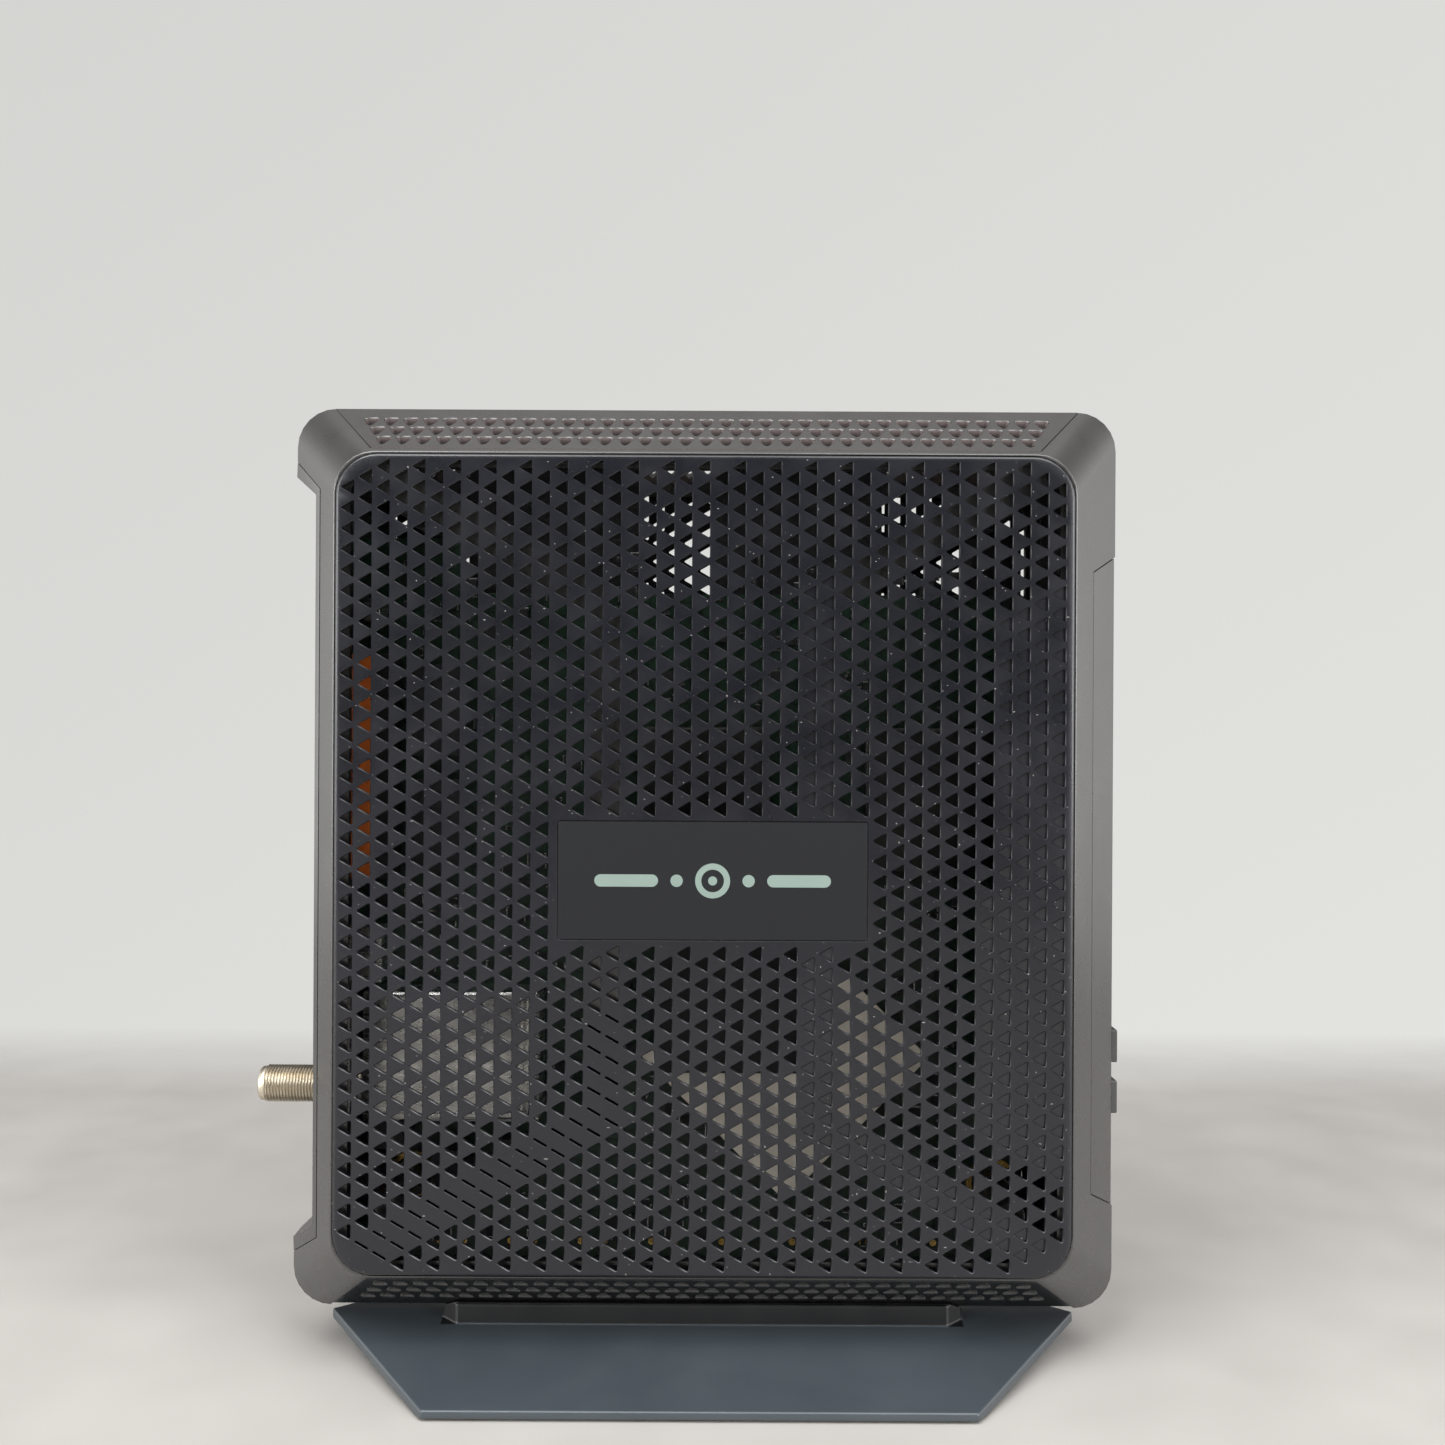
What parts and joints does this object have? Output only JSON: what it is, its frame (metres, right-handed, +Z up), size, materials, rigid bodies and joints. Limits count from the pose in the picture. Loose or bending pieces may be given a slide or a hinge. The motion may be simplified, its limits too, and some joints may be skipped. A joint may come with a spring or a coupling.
{
  "type": "cable modem router",
  "caption": "Upright bevelled cable modem router with perforated sides, rear sockets, side buttons and status lights, standing on a low tent-shaped stand.",
  "frame": {"origin": "centre of the overall footprint, on the surface that the stand rests on", "axes": "+Z up; -X towards the edge with the coaxial and network sockets, +X towards the edge with the status lights and buttons, -Y the near perforated side"},
  "size_m": [0.221, 0.086, 0.2412],
  "materials": {
    "shell_plastic": "fine satin texture",
    "panel_plastic": "fine satin texture",
    "stand_plastic": "satin",
    "badge_film": "fine grain",
    "rubber": "matt",
    "black_plastic": "satin",
    "orange_plastic": "satin",
    "nickel": "plated",
    "tin": "tinned sheet",
    "spreader_metal": "matt",
    "board": "solder mask",
    "steel": "zinc",
    "clear_plastic": "frosted",
    "white_plastic": "satin",
    "chip_resin": "matt"
  },
  "bodies": {
    "stand": {"stand_base": "stand_plastic", "stand_foot_1": "rubber", "stand_foot_2": "rubber", "stand_foot_3": "rubber", "stand_foot_4": "rubber"},
    "housing": {"near_shell": "shell_plastic", "near_panel": "panel_plastic", "near_badge": "badge_film", "far_shell": "shell_plastic", "far_panel": "panel_plastic", "far_badge": "badge_film", "top_grille": "shell_plastic", "bottom_grille": "shell_plastic", "socket_panel": "shell_plastic", "coax_connector": "nickel", "coax_insulator": "white_plastic", "lan_port_block": "orange_plastic", "usb_port": "tin", "usb_tongue": "black_plastic", "dc_jack": "black_plastic", "dc_pin": "nickel", "power_switch": "black_plastic", "reset_switch": "tin", "light_bezel": "shell_plastic", "light_guide": "clear_plastic", "led_board": "board", "led_ribbon": "white_plastic", "wifi_switch": "tin", "wps_switch": "tin", "main_board": "board", "tuner_shield": "tin", "processor": "chip_resin", "heat_spreader": "spreader_metal", "radio_shield_1": "tin", "radio_shield_2": "tin", "lan_transformer_1": "chip_resin", "lan_transformer_2": "chip_resin", "memory_chip": "chip_resin", "input_capacitor": "black_plastic", "power_inductor": "chip_resin", "antenna_board_1": "board", "antenna_board_2": "board", "antenna_board_3": "board", "antenna_lead_1": "black_plastic", "antenna_lead_2": "black_plastic", "antenna_lead_3": "black_plastic", "housing_screw_1": "steel", "housing_screw_2": "steel", "housing_screw_3": "steel", "housing_screw_4": "steel", "board_screw_1": "steel", "board_screw_2": "steel", "board_screw_3": "steel", "board_screw_4": "steel"},
    "wifi_key": {"wifi_button": "black_plastic"},
    "wps_key": {"wps_button": "black_plastic"},
    "power_key": {"power_button": "black_plastic"},
    "reset_key": {"reset_button": "black_plastic"}
  },
  "joints": [
    {"name": "housing_lift", "type": "slide", "parent": "stand", "child": "housing", "axis": [0, 0, 1], "range_m": [0, 0.03]},
    {"name": "wifi_press", "type": "slide", "parent": "housing", "child": "wifi_key", "axis": [-1, 0, 0], "range_m": [0, 0.001], "stiffness_N_per_m": 400},
    {"name": "wps_press", "type": "slide", "parent": "housing", "child": "wps_key", "axis": [-1, 0, 0], "range_m": [0, 0.001], "stiffness_N_per_m": 400},
    {"name": "power_press", "type": "slide", "parent": "housing", "child": "power_key", "axis": [1, 0, 0], "range_m": [0, 0.002], "stiffness_N_per_m": 300},
    {"name": "reset_press", "type": "slide", "parent": "housing", "child": "reset_key", "axis": [1, 0, 0], "range_m": [0, 0.0005], "stiffness_N_per_m": 400}
  ]
}
